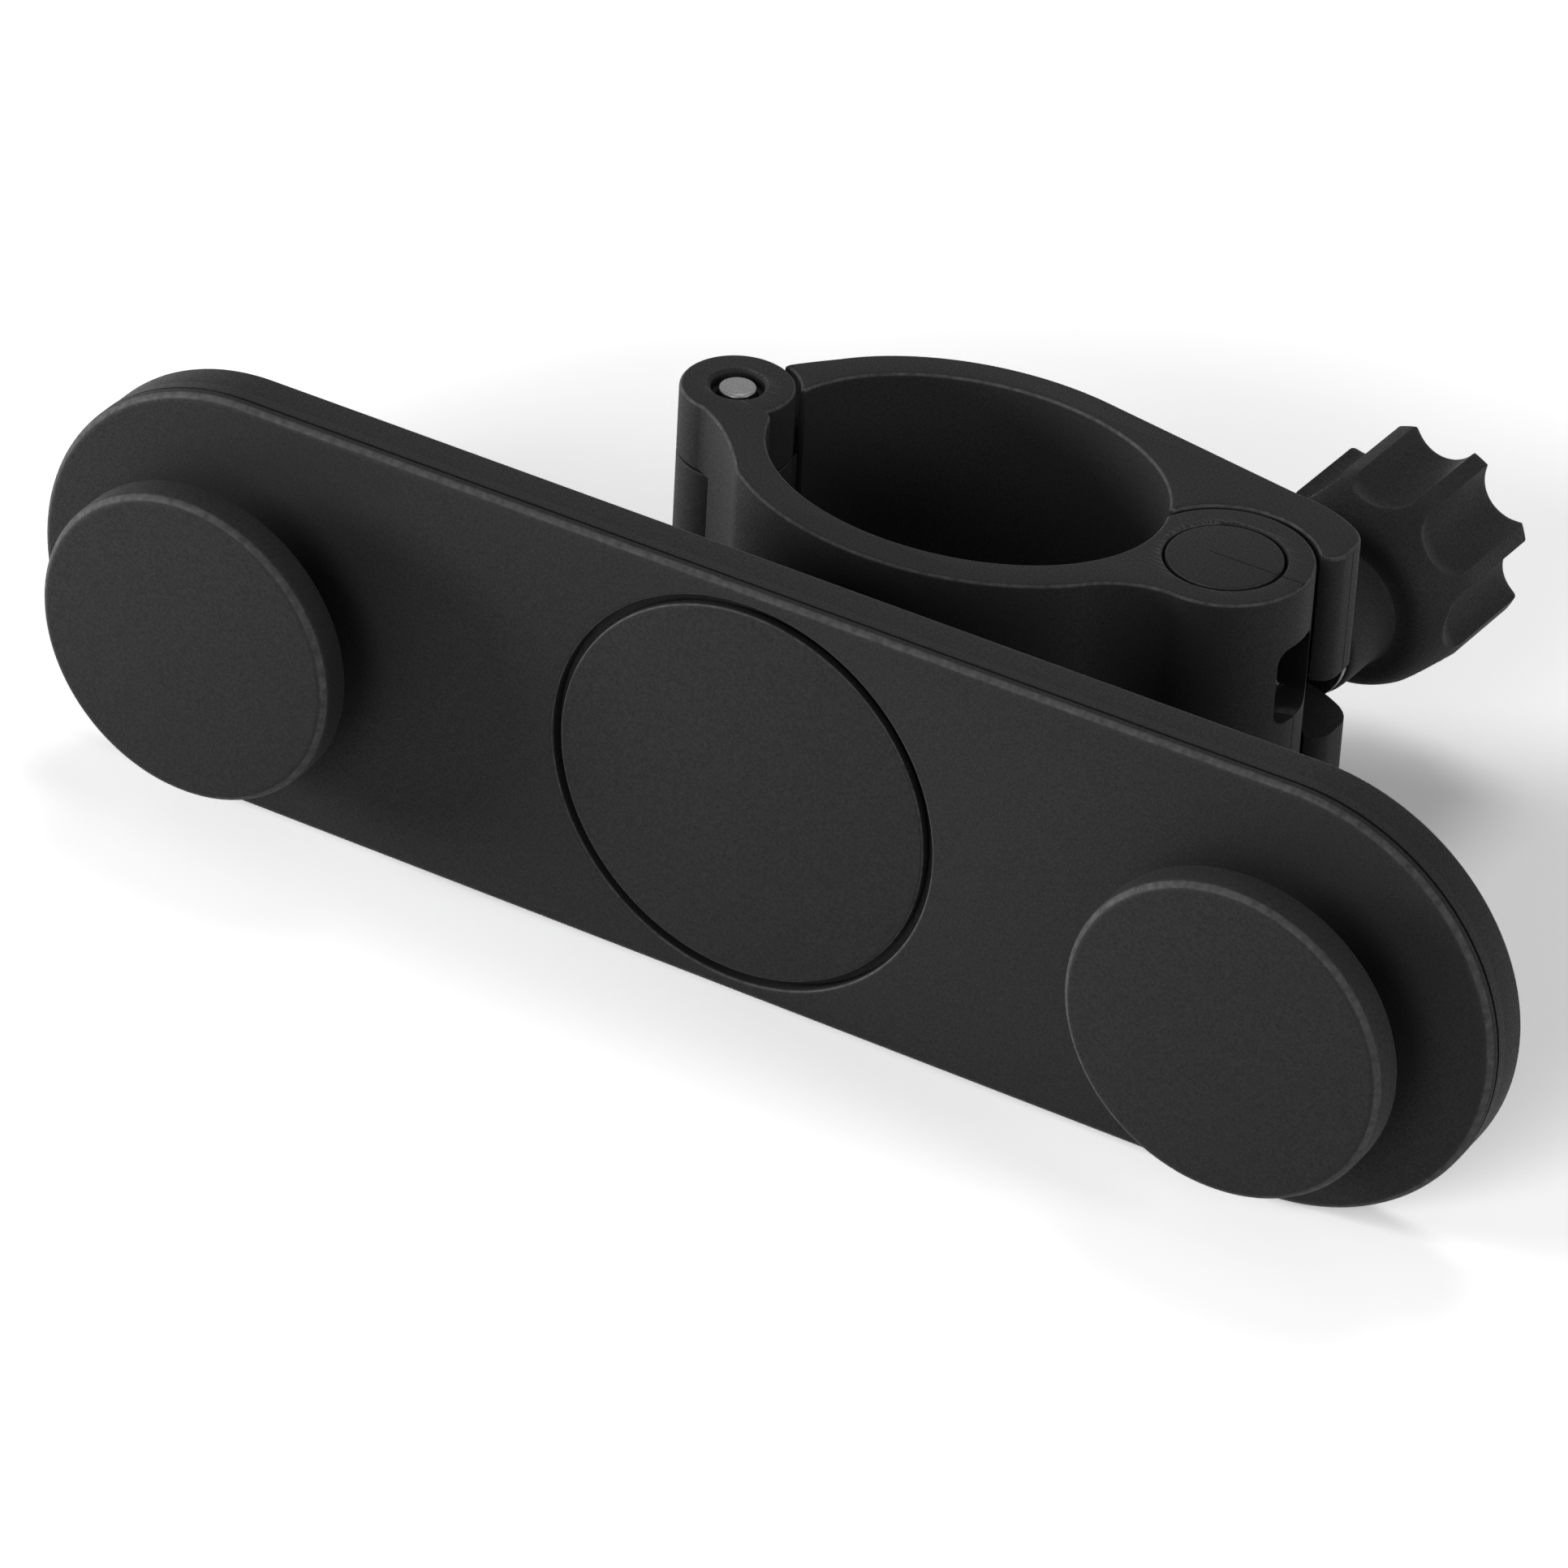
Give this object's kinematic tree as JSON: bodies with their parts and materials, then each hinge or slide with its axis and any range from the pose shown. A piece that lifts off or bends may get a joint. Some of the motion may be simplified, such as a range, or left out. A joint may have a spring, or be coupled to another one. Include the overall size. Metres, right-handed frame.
{
  "type": "handlebar phone mount",
  "caption": "Long round-ended plate with two mushroom studs for a phone strap, swivelling on a hinged handlebar clamp closed by a swing bolt and star knob.",
  "frame": {"origin": "centre of the handlebar bore at mid-height", "axes": "+Z along the handlebar bore, +X along the plate from the hinge to the swing bolt, +Y from the plate through the bore to the knob"},
  "size_m": [0.1396, 0.0797, 0.0396],
  "materials": {
    "black_plastic": "fine matt grain",
    "grained_plastic": "slightly coarser matt grain",
    "steel": "plain turned",
    "brass": "plain turned",
    "grey_nylon": "smooth"
  },
  "bodies": {
    "clamp": {"clamp_front_half": "black_plastic", "hinge_pin": "steel", "swivel_insert": "brass", "swivel_screw": "steel", "swivel_washer": "steel", "friction_ring": "grey_nylon"},
    "rear_arm": {"clamp_rear_arm": "black_plastic"},
    "bolt": {"bolt_barrel": "black_plastic", "swing_bolt": "steel"},
    "washer": {"thrust_washer": "steel"},
    "knob": {"knob_body": "black_plastic", "knob_insert": "brass"},
    "plate": {"front_cover": "black_plastic", "back_housing": "black_plastic", "badge_disc": "grained_plastic", "left_stud": "black_plastic", "right_stud": "black_plastic", "left_stud_insert": "brass", "right_stud_insert": "brass", "left_stud_screw": "steel", "right_stud_screw": "steel", "case_screw_1": "steel", "case_screw_2": "steel", "case_screw_3": "steel", "case_screw_4": "steel"}
  },
  "joints": [
    {"name": "plate_swivel", "type": "hinge", "parent": "clamp", "child": "plate", "pos_m": [-0.0009, 0, 0], "axis": [0, 1, 0], "continuous": true},
    {"name": "arm_open", "type": "hinge", "parent": "clamp", "child": "rear_arm", "pos_m": [-0.0228, 0.0003, 0], "axis": [0, 0, 1], "range_deg": [0, 11]},
    {"name": "bolt_swing", "type": "hinge", "parent": "clamp", "child": "bolt", "pos_m": [0.0246, 0.0003, 0], "axis": [0, 0, 1], "range_deg": [-34, 0]},
    {"name": "knob_travel", "type": "slide", "parent": "bolt", "child": "washer", "axis": [0.0436, 0.999, 0], "range_m": [0, 0.0096]},
    {"name": "knob_turn", "type": "hinge", "parent": "washer", "child": "knob", "pos_m": [0.0246, 0.0003, 0], "axis": [0.0436, 0.999, 0], "range_deg": [0, 4320]}
  ],
  "couplings": [
    {"joint": "knob_travel", "follows": "knob_turn", "m_per_rad": 0.00012731},
    {"joint": "arm_open", "follows": "knob_turn", "ratio": 0.002546}
  ]
}
